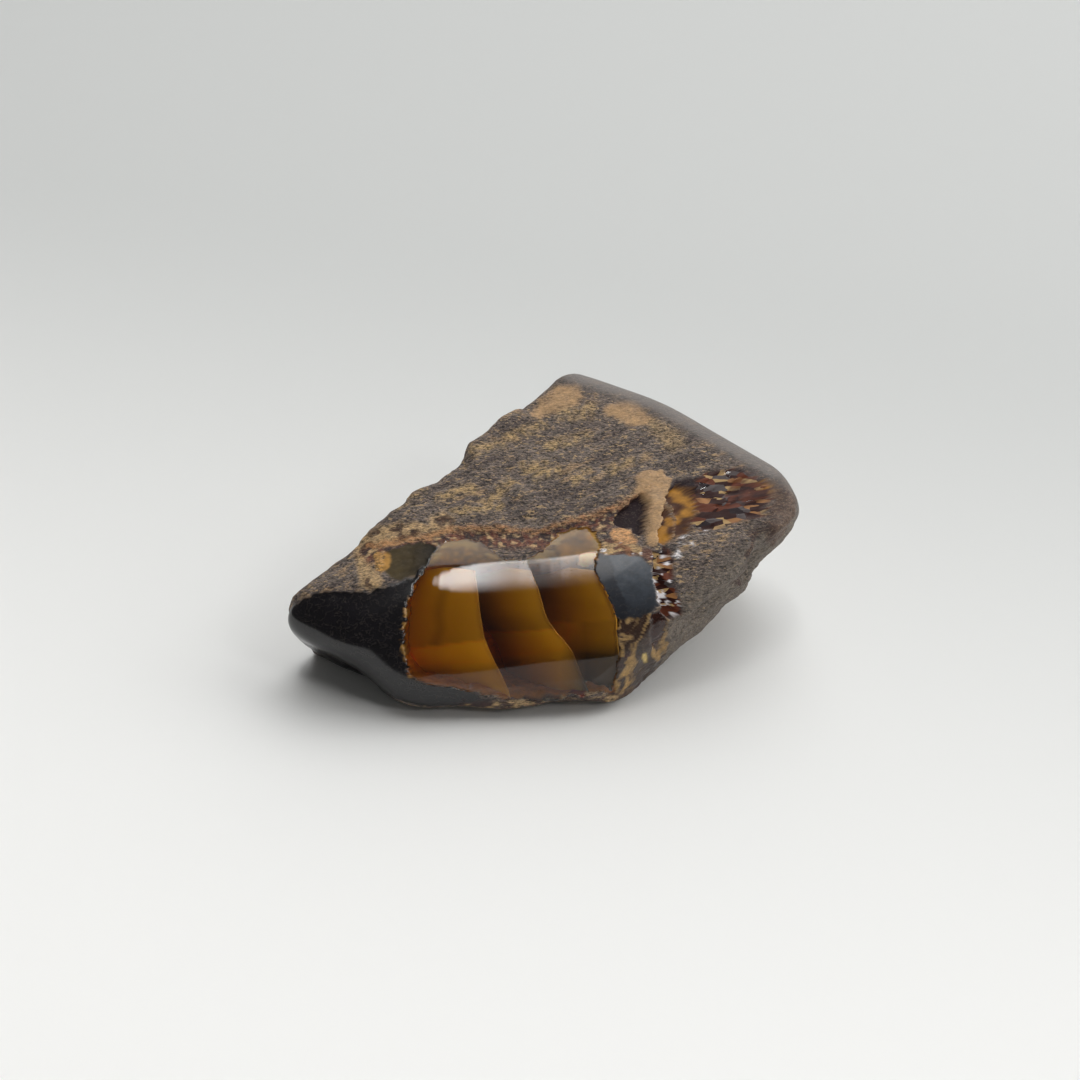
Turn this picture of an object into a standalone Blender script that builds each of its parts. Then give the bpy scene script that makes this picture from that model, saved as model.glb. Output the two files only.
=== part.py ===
# A raw piece of amber: one solid stone with a woody crust, a smooth bulging front and a blunt tip.
#
# Lengths are in millimetres in the drawing frame, whose origin lies under the middle of the front
# edge on the resting plane, with +X to the right along the front and +Z up. FRAME_SHIFT moves the
# middle of the stone's box over the origin of the finished part.

from math import cos, radians, sin

import bpy
import numpy as np

MM = 0.001
NODE_NAME = "raw_amber"
FRAME_SHIFT = np.array([1.2, 33.66, 0.0])

# Broad faces: azimuth and elevation of the outward normal in degrees, and a point on the face.
TOP_CRUST = (-98, 72, (0, 23.0, 28.3))
FRONT = (-85, -7, (-5, -3.6, 4))
FRONT_UNDER = (-86, -60, (-4, -3.6, 3.7))
TIP_UNDER = (-125, -38, (-36, 7.0, 5))
TIP_OVER = (-168, 58, (-41, 18, 21.5))
TIP_END = (165, 12, (-52, 18, 10))
BACK = (72, 8, (12, 64, 28))
BACK_RIGHT = (50, 6, (40, 44, 26))
LEFT_BACK = (136, 10, (-15, 42, 31))
RIGHT_SIDE = (-46, -20, (30.0, 17.0, 5))
LOBE_END = (10, 14, (50.5, 33, 22))
LOBE_UNDER = (-20, -42, (45.5, 30, 15))
REST = (0, -90, (0, 0, 0))

# Radii of the rounded meetings of those faces.
FRONT_ROUND = 24.0
FRONT_UNDER_BLEND = 3.0
TIP_ROUND = 9.0
BACK_ROUND = 7.0

# How far two faces blend into each other.
TIP_END_BLEND = 8.0
TIP_BLEND = 8.0
BACK_BLEND = 8.0
LOBE_BLEND = 6.0
LOBE_EDGE_BLEND = 4.0
SIDE_BLEND = 2.0
BROKEN_EDGE_BLEND = 2.5
REST_BLEND = 1.5

# The lip of the crust over the smooth front, as plan points from the tip to the right-hand chips.
LIP = ((-52, 15), (-44, 13), (-36, 11), (-31, 10.6), (-26.5, 11.5), (-24.5, 16), (-21, 19.6), (-17, 21),
       (-11.4, 21.5), (-5, 20.4), (0, 19.8), (3.8, 21.2), (11.4, 23.2), (19, 27), (21.5, 30))
LIP_DROP = 1.1
LIP_WIDTH = 1.3
LIP_FADE = 13.0

# Where the smooth front stops: the height above the resting plane and the edge of the broken side.
SMOOTH_BOTTOM = 3.0
SMOOTH_RIGHT = ((0, 15), (4, 18), (10, 21), (18, 23), (26, 22), (34, 21))
EDGE_SOFTNESS = 1.5

# Rounded lumps (positive) and scoops (negative): the centre, its reach and its height.
LUMPS = (
    ((-7, 48, 35), 6.5, 1.8),
    ((-12, 45, 34), 4.5, 0.6),
    ((-17, 39, 31.5), 5.0, -2.2),
    ((-21, 35, 30), 4.5, -1.3),
    ((-26, 30, 27), 3.0, -0.6),
    ((-31, 26, 25), 5.0, -0.3),
    ((-41, 16, 20), 7.0, 1.6),
    ((-45, 13, 16), 9.0, 2.2),
    ((-24, 3, 3), 13.0, 2.4),
    ((15, 5, 1), 8.0, 2.2),
    ((5, 1.5, 1), 7.0, -0.9),
    ((45, 24, 18), 7.0, -2.4),
    ((40, 20, 13), 6.0, 1.5),
    ((22, 11, 3), 8.0, 0.8),
    ((47, 30, 26), 5.0, 0.8),
    ((22, 48, 36), 12.0, 0.5),
    ((0, 36, 33), 10.0, -0.5),
)

# Chips broken out of the right end of the top and out of the edge of the side.
CHIPS = (
    ((17.1, 23.6, 29.3), (18.5, 26.0, 30.3), 3.8, -2.3),
    ((26.6, 20.5, 28.8), (28.2, 28.0, 31.2), 4.4, -2.4),
    ((24.0, 19.0, 28.0), (24.8, 23.5, 29.8), 3.0, -1.6),
    ((35.0, 26.0, 31.0), (40.5, 30.5, 32.6), 5.0, -1.5),
    ((31.5, 21.0, 29.0), (36.0, 21.0, 28.8), 3.4, -1.3),
    ((22.5, 14.0, 24.5), (24.5, 8.5, 18.5), 3.2, -1.5),
    ((40.6, 19.5, 28.5), (40.0, 18.0, 18.0), 2.8, -1.9),
    ((30.0, 12.0, 14.0), (33.0, 14.0, 20.0), 4.5, -1.2),
    ((12.0, 16.0, 26.5), (19.0, 15.0, 25.5), 3.0, -0.5),
)

CHIP_STEEPNESS = 2.6

# Ridges that stand between the chips and along the broken side.
RIDGES = (
    ((21.4, 32.5, 32.3), (21.8, 17.5, 27.0), 2.2, 0.8),
    ((19.5, 36.0, 33.5), (24.0, 31.0, 32.0), 2.4, 0.6),
    ((31.2, 29.0, 31.5), (31.6, 21.5, 29.0), 2.0, 0.7),
    ((16.8, 9.0, 20.0), (18.8, 4.5, 8.0), 2.2, 0.6),
    ((27.0, 9.0, 18.0), (37.0, 15.5, 22.5), 3.2, 0.9),
    ((43.5, 20.5, 29.0), (44.5, 22.5, 18.0), 3.4, 1.0),
    ((-9.0, 47.0, 22.0), (-30.0, 27.0, 14.0), 5.0, 1.2),
    ((14.0, 63.0, 20.0), (34.0, 50.0, 12.0), 6.0, 1.3),
)

# Scoops on the hidden back and left faces, and round holes in the crust beside the tip.
SCOOPS = (
    ((-3, 54, 26), (-8, 50, 16), 7.0, -2.0),
    ((-20, 38, 20), (-24, 34, 14), 6.0, -1.6),
    ((24, 57, 24), (30, 53, 22), 7.0, -1.6),
    ((42, 40, 12), (36, 40, 8), 6.0, -1.4),
)
PITS = (
    ((-34.6, 15.0, 22.2), 2.4, -1.7),
    ((-31.7, 16.9, 23.6), 2.0, -1.4),
    ((-29.3, 19.2, 24.7), 1.8, -1.2),
    ((-28.5, 13.8, 22.8), 2.2, -1.5),
    ((-32.0, 13.0, 21.6), 1.7, -1.1),
)

# Hollows under the edges of the resting face.
UNDERCUTS = (
    ((-30, 12, 0), (-38, 20, 0), 4.0, -1.4),
    ((34, 24, 0), (30, 16, 0), 3.5, -1.2),
    ((6, 60, 0), (-4, 52, 0), 4.0, -1.0),
)

# Low relief of the rough faces: the size of its swells along and across the grain, and its height.
GRAIN_DIRECTION = 28.0
GRAIN_LENGTH = 16.0
GRAIN_WIDTH = 3.6
GRAIN_HEIGHT = 0.62
ROUGH_SWELLS = ((9.0, 0.75), (4.2, 0.38))
ROUGH_SEED = 11
GRAIN_SEED = 5
REST_EDGE = 1.2

# Random values per side of the lattice behind each swell; the lattice repeats beyond it.
LATTICE_CELLS = 16

# The mesh: rays leave CENTRE through a sphere stretched to the stone's proportions.
CENTRE = np.array([0.0, 28.0, 17.0])
RAY_STRETCH = np.array([50.0, 31.0, 19.0])
RAY_SUBDIVISIONS = 6
FAR_RADIUS = 75.0
HALVINGS = 24
KEPT_TRIANGLES = 9200
FLAT_TOLERANCE = 0.05

AMBER_COLOUR = (0.16, 0.10, 0.06, 1.0)
AMBER_ROUGHNESS = 0.45
AMBER_METALLIC = 0.0


def face_distance(points, face):
    """Signed distance of the points outside one broad face."""
    azimuth, elevation, on_face = face
    around, up = radians(azimuth), radians(elevation)
    normal = np.array([cos(around) * cos(up), sin(around) * cos(up), sin(up)])
    return (points - np.array(on_face, float)) @ normal


def rounded(first, second, radius):
    """Meeting of two faces with a round of the given radius."""
    past = np.maximum(np.stack([first, second]) + radius, 0.0)
    return np.minimum(np.maximum(first, second), -radius) + np.sqrt((past ** 2).sum(0))


def blended(first, second, reach):
    """Meeting of two faces with a soft edge."""
    near = np.maximum(reach - np.abs(first - second), 0.0) / reach
    return np.maximum(first, second) + near * near * reach / 4


def smooth_body(points):
    """The worn front, tip and back of the stone."""
    top = face_distance(points, TOP_CRUST)
    front = rounded(face_distance(points, FRONT), top, FRONT_ROUND)
    front = blended(front, face_distance(points, FRONT_UNDER), FRONT_UNDER_BLEND)
    tip = rounded(face_distance(points, TIP_UNDER), face_distance(points, TIP_OVER), TIP_ROUND)
    tip = blended(tip, face_distance(points, TIP_END), TIP_END_BLEND)
    back = blended(face_distance(points, BACK), face_distance(points, BACK_RIGHT), BACK_BLEND)
    back = rounded(back, top, BACK_ROUND)
    return np.maximum(blended(front, tip, TIP_BLEND), back)


def broken_sides(points):
    """The broken faces at the left back and the right, with the lobe at the right end."""
    sides = blended(face_distance(points, LEFT_BACK), face_distance(points, RIGHT_SIDE), SIDE_BLEND)
    lobe = blended(face_distance(points, LOBE_END), face_distance(points, LOBE_UNDER), LOBE_BLEND)
    return blended(sides, lobe, LOBE_EDGE_BLEND)


def stone(points):
    """Signed distance outside the whole stone, before its relief."""
    whole = blended(smooth_body(points), broken_sides(points), BROKEN_EDGE_BLEND)
    return blended(whole, face_distance(points, REST), REST_BLEND)


def swell(points, size, seed):
    """Smooth random relief between -1 and 1, whose swells are about size apart."""
    lattice = np.random.default_rng(seed).uniform(-1.0, 1.0, (LATTICE_CELLS,) * 3)
    scaled = points / size
    cell = np.floor(scaled).astype(int)
    part = scaled - cell
    part = part * part * (3.0 - 2.0 * part)
    total = np.zeros(len(points))
    for corner in np.ndindex(2, 2, 2):
        weight = np.prod(np.where(np.array(corner) == 1, part, 1.0 - part), axis=1)
        index = (cell + np.array(corner)) % LATTICE_CELLS
        total += weight * lattice[index[:, 0], index[:, 1], index[:, 2]]
    return total


def soft_step(values, width):
    """0 below -width, 1 above +width, smooth between."""
    part = np.clip((values / width + 1.0) / 2.0, 0.0, 1.0)
    return part * part * (3.0 - 2.0 * part)


def from_segment(points, start, end):
    """Distance of the points from a straight segment."""
    start, end = np.array(start, float), np.array(end, float)
    along = end - start
    share = np.clip((points - start) @ along / (along @ along), 0.0, 1.0)
    return np.linalg.norm(points - start - share[:, None] * along, axis=1)


def mound(distance, reach, height, steepness=2):
    """A lump or scoop that fades to nothing at its reach, flatter on top for a higher steepness."""
    inside = np.maximum(1.0 - (distance / reach) ** steepness, 0.0)
    return height * inside * inside


def smooth_share(points):
    """1 on the worn, polished front and tip, 0 on the crust and the broken faces."""
    lip = np.interp(points[:, 0], [x for x, y in LIP], [y for x, y in LIP])
    right = np.interp(points[:, 2], [z for z, x in SMOOTH_RIGHT], [x for z, x in SMOOTH_RIGHT])
    below_lip = soft_step(lip - points[:, 1], EDGE_SOFTNESS)
    left_of_break = soft_step(right - points[:, 0], EDGE_SOFTNESS)
    above_rim = soft_step(points[:, 2] - SMOOTH_BOTTOM, EDGE_SOFTNESS)
    return below_lip * left_of_break * above_rim


def back_rim_share(points):
    """1 on the worn rim along the back of the top, 0 elsewhere."""
    top = face_distance(points, TOP_CRUST)
    back = blended(face_distance(points, BACK), face_distance(points, BACK_RIGHT), BACK_BLEND)
    return soft_step(back + BACK_ROUND, EDGE_SOFTNESS) * soft_step(top + BACK_ROUND, EDGE_SOFTNESS)


def lip_step(points):
    """The smooth front lies below the crust along the lip, and comes level farther down."""
    lip = np.interp(points[:, 0], [x for x, y in LIP], [y for x, y in LIP])
    away = lip - points[:, 1]
    right = np.interp(points[:, 2], [z for z, x in SMOOTH_RIGHT], [x for z, x in SMOOTH_RIGHT])
    fade = np.clip(1.0 - away / LIP_FADE, 0.0, 1.0) * soft_step(right - points[:, 0], EDGE_SOFTNESS)
    return -LIP_DROP * soft_step(away, LIP_WIDTH) * fade


def grain(points):
    """Long low ridges of the woody crust, along the grain."""
    turn = radians(GRAIN_DIRECTION)
    along = points[:, 0] * cos(turn) + points[:, 1] * sin(turn)
    across = points[:, 1] * cos(turn) - points[:, 0] * sin(turn)
    stretched = np.stack([along * GRAIN_WIDTH / GRAIN_LENGTH, across, points[:, 2]], axis=1)
    return GRAIN_HEIGHT * swell(stretched, GRAIN_WIDTH, GRAIN_SEED)


def relief(points):
    """Height of everything that stands on or is cut into the broad form."""
    height = np.zeros(len(points))
    for centre, reach, lift in LUMPS + PITS:
        height += mound(np.linalg.norm(points - np.array(centre, float), axis=1), reach, lift)
    for start, end, reach, lift in RIDGES + SCOOPS:
        height += mound(from_segment(points, start, end), reach, lift)
    for start, end, reach, lift in CHIPS:
        height += mound(from_segment(points, start, end), reach, lift, CHIP_STEEPNESS)
    rough = (1.0 - smooth_share(points)) * (1.0 - back_rim_share(points))
    coarse = sum(lift * swell(points, size, ROUGH_SEED) for size, lift in ROUGH_SWELLS)
    height += lip_step(points) + rough * (coarse + grain(points))
    height *= soft_step(points[:, 2] - REST_EDGE, REST_EDGE)
    for start, end, reach, lift in UNDERCUTS:
        height += mound(from_segment(points, start, end), reach, lift)
    return height


def surface_radii(directions):
    """Distance from CENTRE to the broad form along each direction."""
    near = np.zeros(len(directions))
    far = np.full(len(directions), FAR_RADIUS)
    for _ in range(HALVINGS):
        middle = (near + far) / 2
        inside = stone(CENTRE + directions * middle[:, None]) < 0
        near = np.where(inside, middle, near)
        far = np.where(inside, far, middle)
    return (near + far) / 2


def shaped(sphere_points):
    """Moves the points of a unit sphere onto the finished surface of the stone."""
    directions = sphere_points * RAY_STRETCH
    directions /= np.linalg.norm(directions, axis=1, keepdims=True)
    points = CENTRE + directions * surface_radii(directions)[:, None]
    points += directions * relief(points)[:, None]
    points[:, 2] = np.maximum(points[:, 2], 0.0)
    return points - FRAME_SHIFT


def level_rest(mesh):
    """Makes the resting face exactly flat."""
    for vertex in mesh.vertices:
        if vertex.co.z < FLAT_TOLERANCE * MM:
            vertex.co.z = 0.0


def amber_material():
    """Dark brown, half dull."""
    material = bpy.data.materials.new("amber_crust")
    material.use_nodes = True
    shader = material.node_tree.nodes["Principled BSDF"]
    shader.inputs["Base Color"].default_value = AMBER_COLOUR
    shader.inputs["Roughness"].default_value = AMBER_ROUGHNESS
    shader.inputs["Metallic"].default_value = AMBER_METALLIC
    return material


def thinned(stone_object):
    """The stone's mesh with its triangles thinned where the surface is flat."""
    decimate = stone_object.modifiers.new("thin", "DECIMATE")
    decimate.ratio = KEPT_TRIANGLES / len(stone_object.data.polygons)
    evaluated = stone_object.evaluated_get(bpy.context.evaluated_depsgraph_get())
    mesh = bpy.data.meshes.new_from_object(evaluated)
    stone_object.modifiers.remove(decimate)
    return mesh


def make_stone():
    """The whole stone, grown as one piece, from a sphere pushed onto its surface."""
    bpy.ops.mesh.primitive_ico_sphere_add(subdivisions=RAY_SUBDIVISIONS, radius=1.0)
    stone_object = bpy.context.object
    sphere = np.array([vertex.co[:] for vertex in stone_object.data.vertices])
    points = shaped(sphere / np.linalg.norm(sphere, axis=1, keepdims=True)) * MM
    stone_object.data.vertices.foreach_set("co", points.ravel())
    stone_object.data.update()
    stone_object.data = thinned(stone_object)
    level_rest(stone_object.data)
    stone_object.name = NODE_NAME
    stone_object.data.name = NODE_NAME
    stone_object.data.shade_smooth()
    stone_object.data.materials.append(amber_material())
    return stone_object


def clear_scene():
    for old in list(bpy.data.objects):
        bpy.data.objects.remove(old, do_unlink=True)


def main():
    clear_scene()
    stone_object = make_stone()
    collection = bpy.data.collections.new("raw_amber_piece")
    bpy.context.scene.collection.children.link(collection)
    for holder in list(stone_object.users_collection):
        holder.objects.unlink(stone_object)
    collection.objects.link(stone_object)


main()
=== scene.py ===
# The looks of a raw piece of amber: woody crust, black polished tip, see-through honey window with
# golden fractures, and a chipped right end, on a pale floor under soft light.
#
# Lengths are in millimetres in the stone's drawing frame, whose origin lies under the middle of the
# front edge on the resting plane, and become metres in to_metres(). Places marked PX are pixels of
# the 1080 x 1080 photograph, seen through the camera set up below.

from math import cos, radians, sin

import bmesh
import bpy
import numpy as np
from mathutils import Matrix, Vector


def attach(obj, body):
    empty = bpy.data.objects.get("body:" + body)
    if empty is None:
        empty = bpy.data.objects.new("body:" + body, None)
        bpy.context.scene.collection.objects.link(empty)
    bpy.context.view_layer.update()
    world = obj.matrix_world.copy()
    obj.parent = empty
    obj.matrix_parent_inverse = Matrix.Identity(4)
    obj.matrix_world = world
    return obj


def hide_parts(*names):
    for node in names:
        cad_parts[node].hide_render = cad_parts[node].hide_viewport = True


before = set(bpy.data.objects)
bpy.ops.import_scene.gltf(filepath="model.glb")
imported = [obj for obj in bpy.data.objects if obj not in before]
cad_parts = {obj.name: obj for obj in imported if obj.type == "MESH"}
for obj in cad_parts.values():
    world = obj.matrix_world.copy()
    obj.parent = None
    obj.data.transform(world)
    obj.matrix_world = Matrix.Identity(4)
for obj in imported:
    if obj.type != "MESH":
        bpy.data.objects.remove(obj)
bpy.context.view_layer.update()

MM = 0.001
NODE_NAME = "raw_amber"
FRAME_SHIFT = np.array([1.2, 33.66, 0.0])

# Camera, in the drawing frame.
PHOTO_SIZE = 1080
CAMERA_ELEVATION = 35.0
CAMERA_LENS = 60.0
CAMERA_SENSOR = 36.0
CAMERA_DISTANCE = 353.0
CAMERA_AIM = np.array([0.0, 30.0, 19.0])
FOCAL_PX = PHOTO_SIZE * CAMERA_LENS / CAMERA_SENSOR
PX_PER_MM = FOCAL_PX / CAMERA_DISTANCE

# The broad form of the stone, as in the CAD source.
TOP_CRUST = (-98, 72, (0, 23.0, 28.3))
FRONT = (-85, -7, (-5, -3.6, 4))
FRONT_UNDER = (-86, -60, (-4, -3.6, 3.7))
TIP_UNDER = (-125, -38, (-36, 7.0, 5))
TIP_OVER = (-168, 58, (-41, 18, 21.5))
TIP_END = (165, 12, (-52, 18, 10))
BACK = (72, 8, (12, 64, 28))
BACK_RIGHT = (50, 6, (40, 44, 26))
LEFT_BACK = (136, 10, (-15, 42, 31))
RIGHT_SIDE = (-46, -20, (30.0, 17.0, 5))
LOBE_END = (10, 14, (50.5, 33, 22))
LOBE_UNDER = (-20, -42, (45.5, 30, 15))
REST = (0, -90, (0, 0, 0))
FRONT_ROUND = 24.0
FRONT_UNDER_BLEND = 3.0
TIP_ROUND = 9.0
BACK_ROUND = 7.0
TIP_END_BLEND = 8.0
TIP_BLEND = 8.0
BACK_BLEND = 8.0
LOBE_BLEND = 6.0
LOBE_EDGE_BLEND = 4.0
SIDE_BLEND = 2.0
BROKEN_EDGE_BLEND = 2.5
REST_BLEND = 1.5

LIP = ((-52, 15), (-44, 13), (-36, 11), (-31, 10.6), (-26.5, 11.5), (-24.5, 16), (-21, 19.6), (-17, 21),
       (-11.4, 21.5), (-5, 20.4), (0, 19.8), (3.8, 21.2), (11.4, 23.2), (19, 27), (21.5, 30))
LIP_DROP = 1.1
LIP_WIDTH = 1.3
LIP_FADE = 13.0
LIP_SHIFTS = (-4.0, -2.0, 0.0, 2.0, 4.0)
SMOOTH_BOTTOM = 3.0
SMOOTH_RIGHT = ((0, 15), (4, 18), (10, 21), (18, 23), (26, 22), (34, 21))
EDGE_SOFTNESS = 1.5

LUMPS = (
    ((-7, 48, 35), 6.5, 1.8),
    ((-12, 45, 34), 4.5, 0.6),
    ((-17, 39, 31.5), 5.0, -2.2),
    ((-21, 35, 30), 4.5, -1.3),
    ((-26, 30, 27), 3.0, -0.6),
    ((-31, 26, 25), 5.0, -0.3),
    ((-41, 16, 20), 7.0, 1.6),
    ((-45, 13, 16), 9.0, 2.2),
    ((-24, 3, 3), 13.0, 2.4),
    ((15, 5, 1), 8.0, 2.2),
    ((5, 1.5, 1), 7.0, -0.9),
    ((45, 24, 18), 7.0, -2.4),
    ((40, 20, 13), 6.0, 1.5),
    ((22, 11, 3), 8.0, 0.8),
    ((47, 30, 26), 5.0, 0.8),
    ((22, 48, 36), 12.0, 0.5),
    ((0, 36, 33), 10.0, -0.5),
)
RIDGES = (
    ((27.0, 9.0, 18.0), (37.0, 15.5, 22.5), 3.2, 0.9),
    ((43.5, 20.5, 29.0), (44.5, 22.5, 18.0), 3.4, 1.0),
    ((-9.0, 47.0, 22.0), (-30.0, 27.0, 14.0), 5.0, 1.2),
    ((14.0, 63.0, 20.0), (34.0, 50.0, 12.0), 6.0, 1.3),
)
SCOOPS = (
    ((-3, 54, 26), (-8, 50, 16), 7.0, -2.0),
    ((-20, 38, 20), (-24, 34, 14), 6.0, -1.6),
    ((24, 57, 24), (30, 53, 22), 7.0, -1.6),
    ((42, 40, 12), (36, 40, 8), 6.0, -1.4),
    ((40.6, 19.5, 28.5), (40.0, 18.0, 18.0), 2.8, -1.9),
    ((30.0, 12.0, 14.0), (33.0, 14.0, 20.0), 4.5, -1.2),
)
UNDERCUTS = (
    ((-30, 12, 0), (-38, 20, 0), 4.0, -1.4),
    ((34, 24, 0), (30, 16, 0), 3.5, -1.2),
    ((6, 60, 0), (-4, 52, 0), 4.0, -1.0),
)
GRAIN_DIRECTION = 28.0
GRAIN_LENGTH = 16.0
GRAIN_WIDTH = 3.6
GRAIN_HEIGHT = 0.62
ROUGH_SWELLS = ((9.0, 0.75), (4.2, 0.38))
ROUGH_SEED = 11
GRAIN_SEED = 5
REST_EDGE = 1.2
LATTICE_CELLS = 16

CENTRE = np.array([0.0, 28.0, 17.0])
RAY_STRETCH = np.array([50.0, 31.0, 19.0])
FAR_RADIUS = 75.0
HALVINGS = 26

# Outlines of the regions of the surface, in photograph pixels.
WINDOW_PX = ((408, 668), (406, 659), (404, 645), (405, 630), (407, 619), (408, 607), (413, 594), (416, 584),
             (424, 571), (430, 559), (437, 548), (447, 542), (459, 541), (474, 541), (485, 546), (494, 552),
             (502, 558), (512, 561), (524, 560), (533, 557), (543, 551), (552, 542), (560, 533), (575, 528),
             (587, 527), (596, 533), (600, 544), (598, 556), (595, 570), (602, 585), (612, 604), (617, 618),
             (617, 634), (620, 653), (617, 668), (614, 691), (589, 692), (577, 694), (550, 700), (512, 698),
             (478, 692), (455, 688), (436, 686), (422, 682), (412, 676))
GREEN_PATCH_PX = ((383, 556), (392, 549), (405, 545), (420, 542), (433, 543), (436, 547), (430, 556),
                  (421, 567), (412, 576), (400, 580), (390, 578), (383, 570))
TIP_PX = ((280, 640), (283, 612), (300, 600), (315, 594), (340, 590), (365, 592), (391, 584), (403, 580),
          (413, 576), (424, 562), (434, 545), (440, 548), (432, 560), (424, 573), (470, 600), (470, 692),
          (500, 704), (480, 735), (400, 735), (290, 685), (268, 650))
SLATE_PX = ((598, 553), (610, 553), (630, 554), (646, 561), (653, 573), (655, 589), (660, 604), (650, 614),
            (638, 619), (618, 624), (612, 612), (606, 600), (599, 588), (591, 571))
SLATE_EDGE_PX = ((598, 552), (606, 553), (612, 562), (615, 575), (618, 588), (626, 600), (630, 614),
                 (618, 624), (612, 612), (606, 600), (599, 588), (591, 571))
STRIPE_ZONE_PX = ((614, 622), (640, 617), (655, 612), (668, 618), (668, 640), (655, 675), (640, 697),
                  (608, 699), (613, 668), (616, 653))
GLASSY_PX = ((654, 613), (664, 611), (668, 625), (664, 640), (656, 652), (650, 645), (652, 628))
CAVITY_PX = ((654, 552), (668, 548), (676, 560), (674, 580), (680, 600), (682, 612), (672, 622), (664, 612),
             (660, 596), (655, 580))
POCKET_A_PX = ((615, 521), (620, 511), (630, 506), (633, 500), (643, 496), (650, 501), (646, 513), (645, 526),
               (643, 536), (633, 528), (623, 528))
POCKET_B_PX = ((670, 490), (679, 485), (693, 488), (699, 495), (701, 510), (698, 523), (688, 534), (680, 539),
               (681, 517), (675, 505), (669, 498))
POCKET_C_PX = ((663, 518), (667, 502), (674, 510), (680, 520), (679, 530), (673, 542), (666, 547), (660, 543),
               (659, 533))
SHARDS_PX = ((700, 478), (712, 470), (735, 470), (755, 473), (768, 484), (771, 500), (765, 515), (750, 520),
             (732, 524), (715, 530), (704, 533), (699, 523), (702, 510), (700, 494))
YELLOW_END_PX = ((764, 478), (772, 479), (780, 486), (783, 496), (778, 501), (770, 494), (765, 486))
ORANGE_BLOCK_PX = ((611, 530), (622, 528), (634, 532), (635, 545), (630, 555), (622, 548), (612, 544))
TAN_STRIP_PX = ((633, 495), (633, 478), (643, 472), (660, 471), (673, 478), (669, 488), (667, 500),
                (662, 516), (659, 540), (655, 548), (646, 545), (646, 520), (650, 502), (643, 495))
TAN_TOP_PX = ((602, 412), (606, 406), (614, 402), (636, 401), (643, 408), (653, 421), (646, 428), (634, 427),
              (620, 419), (608, 415))
TAN_TRAIL_PX = ((648, 418), (664, 426), (684, 436), (686, 446), (672, 452), (660, 440), (646, 430))
TAN_STREAKS_PX = (((473, 452), (505, 440)), ((508, 436), (543, 425)), ((547, 446), (590, 433)),
                  ((525, 468), (544, 464)), ((538, 478), (556, 472)), ((576, 479), (586, 470)),
                  ((486, 500), (510, 483)), ((402, 506), (420, 490)), ((440, 498), (470, 488)),
                  ((560, 415), (590, 410)), ((610, 470), (628, 462)), ((455, 512), (500, 506)))
TAN_PEAK_PX = ((528, 412), (540, 396), (556, 386), (575, 384), (584, 396), (570, 408), (550, 412), (538, 418))
TAN_LEFT_PX = ((356, 562), (352, 548), (360, 536), (378, 528), (400, 524), (420, 521), (428, 530), (412, 540),
               (396, 545), (380, 555), (372, 566), (384, 580), (378, 590), (362, 586))
TAN_LUMP_PX = ((424, 528), (432, 516), (446, 513), (455, 520), (452, 532), (440, 540), (428, 538))
CREAM_PX = ((579, 566), (581, 556), (592, 552), (597, 553), (596, 562), (590, 571), (582, 571))
RED_SPOT_PX = ((568, 694), (572, 686), (579, 684), (586, 690), (584, 696))
GOLD_CRUMB_PX = ((374, 557), (379, 551), (387, 555), (388, 567), (381, 573), (376, 567))
OVAL_PX = ((643, 654), (646, 653), (647, 656), (646, 661), (644, 662), (642, 658))
POCKET_TOP_PX = ((668, 486), (676, 480), (690, 477), (703, 480), (706, 492), (700, 500), (690, 490),
                 (676, 494))
GLINT_PX = ((652, 572), (658, 568), (663, 578), (667, 592), (672, 604), (666, 612), (660, 600), (655, 588))
SHADED_CREASE_PX = ((778, 500), (771, 517), (760, 534), (750, 551), (745, 569), (734, 582))
LEDGE_PX = ((598, 546), (606, 540), (622, 543), (640, 547), (652, 550), (657, 560), (650, 562), (636, 556),
            (618, 552), (604, 554))
# The frosted patch holds white crumbled edges and painted glints.
FROST_AND_GLINT_PX = ((684, 540), (692, 532), (704, 527), (710, 532), (702, 541), (690, 549), (682, 560), (670, 561),
            (668, 552), (678, 549))
LOWER_EDGE_PX = ((464, 706), (505, 704), (548, 699), (575, 702), (603, 702), (640, 690))
MAROON_PX = ((734, 480), (750, 476), (764, 484), (766, 500), (750, 506), (736, 500))
LOBE_PX = ((772, 478), (785, 476), (800, 500), (800, 530), (788, 545), (772, 552), (768, 530), (774, 505))
LIP_BAND_PX = ((372, 549), (400, 544), (430, 540), (450, 534), (480, 531), (540, 535), (560, 528), (600, 516),
               (640, 500), (650, 490))
SECOND_LINE_PX = ((404, 655), (483, 641), (551, 630), (612, 621), (640, 617))
HORIZON_PX = ((404, 675), (418, 673), (498, 670), (574, 657), (620, 656), (640, 655))
ARC_PX = ((449, 583), (442, 600), (438, 618), (440, 632), (434, 648))
CRACKS_PX = (
    ((474, 566), (476, 580), (478, 594), (479, 606), (481, 620), (484, 637), (489, 650), (494, 661),
     (501, 674), (508, 690), (512, 703)),
    ((527, 562), (533, 577), (538, 588), (543, 606), (545, 614), (549, 622), (556, 632), (566, 643),
     (573, 653), (578, 667), (584, 681), (592, 698)),
    ((591, 556), (595, 568), (600, 580), (608, 595), (615, 611), (617, 621), (617, 634), (619, 653),
     (618, 671), (614, 695)),
)


def srgb(red, green, blue):
    """Linear colour of an 8-bit display colour."""
    share = np.array([red, green, blue]) / 255.0
    return np.where(share <= 0.04045, share / 12.92, ((share + 0.055) / 1.055) ** 2.4)


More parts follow.
